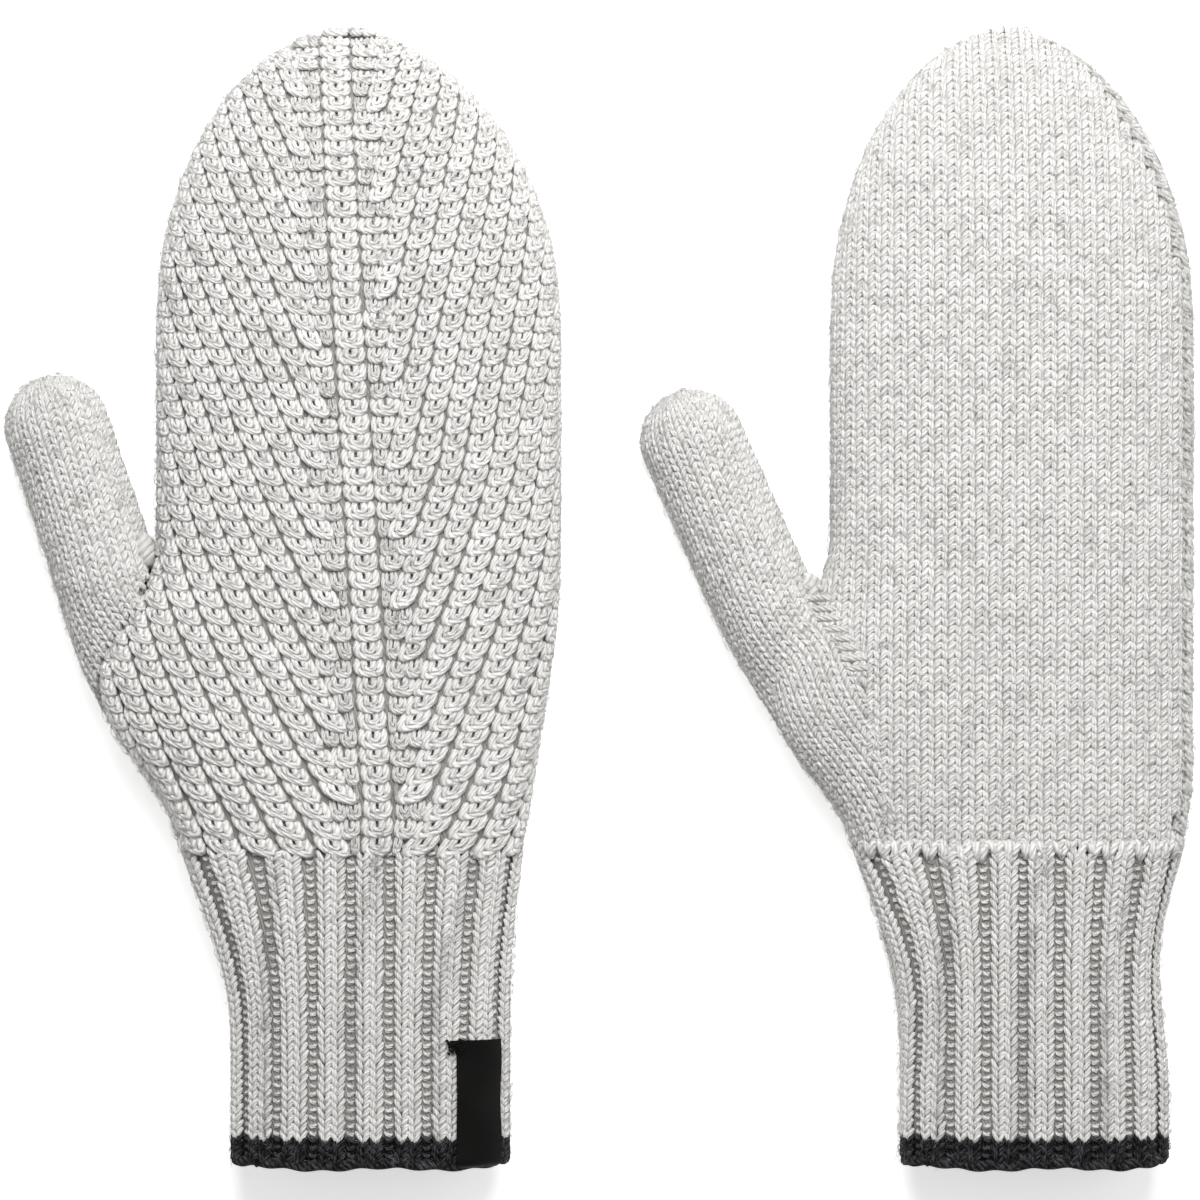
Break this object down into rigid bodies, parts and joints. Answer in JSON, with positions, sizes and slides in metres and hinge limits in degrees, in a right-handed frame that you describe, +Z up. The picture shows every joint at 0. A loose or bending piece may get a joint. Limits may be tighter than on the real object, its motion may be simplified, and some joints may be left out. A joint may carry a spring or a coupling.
{
  "type": "pair of knitted mittens",
  "caption": "Pair of knitted mittens lying flat, with thick ribbed backs, plain-knit palms and thumbs, and ribbed cuffs with a dark edge.",
  "frame": {"origin": "middle of the pair's footprint, on the surface that the mittens lie on", "axes": "+X from the right-hand mitten to the left-hand one, +Y from the cuffs to the fingertips, +Z up from the surface"},
  "size_m": [0.2866, 0.2777, 0.031],
  "materials": {
    "ribbed_wool": "thick ribbed knit in light grey and cream marl wool",
    "plain_wool": "fine plain knit in light grey and cream marl wool",
    "cuff_wool": "narrow ribbed knit in light grey and cream marl wool",
    "seam_yarn": "linked seam in the same wool",
    "charcoal_wool": "ribbed knit in charcoal marl wool",
    "label_satin": "black woven satin ribbon with no lettering",
    "label_thread": "light sewing thread"
  },
  "bodies": {
    "right_hand": {"right_back_hand": "ribbed_wool", "right_palm_hand": "plain_wool", "right_little_seam_hand": "seam_yarn", "right_thumb_seam_hand": "seam_yarn", "right_root_seam": "seam_yarn", "right_gusset": "plain_wool"},
    "right_fingers": {"right_back_fingers": "ribbed_wool", "right_palm_fingers": "plain_wool", "right_little_seam_fingers": "seam_yarn", "right_thumb_seam_fingers": "seam_yarn"},
    "right_thumb": {"right_thumb": "plain_wool", "right_thumb_tip": "seam_yarn"},
    "right_cuff": {"right_cuff": "cuff_wool", "right_cuff_edge": "charcoal_wool", "right_cuff_link": "seam_yarn", "label": "label_satin", "label_stitching": "label_thread"},
    "left_hand": {"left_back_hand": "ribbed_wool", "left_palm_hand": "plain_wool", "left_little_seam_hand": "seam_yarn", "left_thumb_seam_hand": "seam_yarn", "left_root_seam": "seam_yarn", "left_gusset": "plain_wool"},
    "left_fingers": {"left_back_fingers": "ribbed_wool", "left_palm_fingers": "plain_wool", "left_little_seam_fingers": "seam_yarn", "left_thumb_seam_fingers": "seam_yarn"},
    "left_thumb": {"left_thumb": "plain_wool", "left_thumb_tip": "seam_yarn"},
    "left_cuff": {"left_cuff": "cuff_wool", "left_cuff_edge": "charcoal_wool", "left_cuff_link": "seam_yarn"}
  },
  "joints": [
    {"name": "right_finger_fold", "type": "hinge", "parent": "right_hand", "child": "right_fingers", "pos_m": [-0.055, 0.04, 0], "axis": [-1, 0, 0], "range_deg": [0, 70]},
    {"name": "right_thumb_swing", "type": "hinge", "parent": "right_hand", "child": "right_thumb", "pos_m": [-0.12546, 0.0115, 0.012], "axis": [0, 0, 1], "range_deg": [-8, 22]},
    {"name": "right_wrist_fold", "type": "hinge", "parent": "right_hand", "child": "right_cuff", "pos_m": [-0.055, -0.06, 0], "axis": [1, 0, 0], "range_deg": [0, 45]},
    {"name": "pair_slide", "type": "slide", "parent": "right_hand", "child": "left_hand", "axis": [1, 0, 0], "range_m": [0, 0.12]},
    {"name": "left_finger_fold", "type": "hinge", "parent": "left_hand", "child": "left_fingers", "pos_m": [0.104, 0.04, 0.031], "axis": [1, 0, 0], "range_deg": [0, 70]},
    {"name": "left_thumb_swing", "type": "hinge", "parent": "left_hand", "child": "left_thumb", "pos_m": [0.03421, -0.0004, 0.012], "axis": [0, 0, 1], "range_deg": [-8, 22]},
    {"name": "left_wrist_fold", "type": "hinge", "parent": "left_hand", "child": "left_cuff", "pos_m": [0.104, -0.06, 0.031], "axis": [-1, 0, 0], "range_deg": [0, 45]}
  ]
}
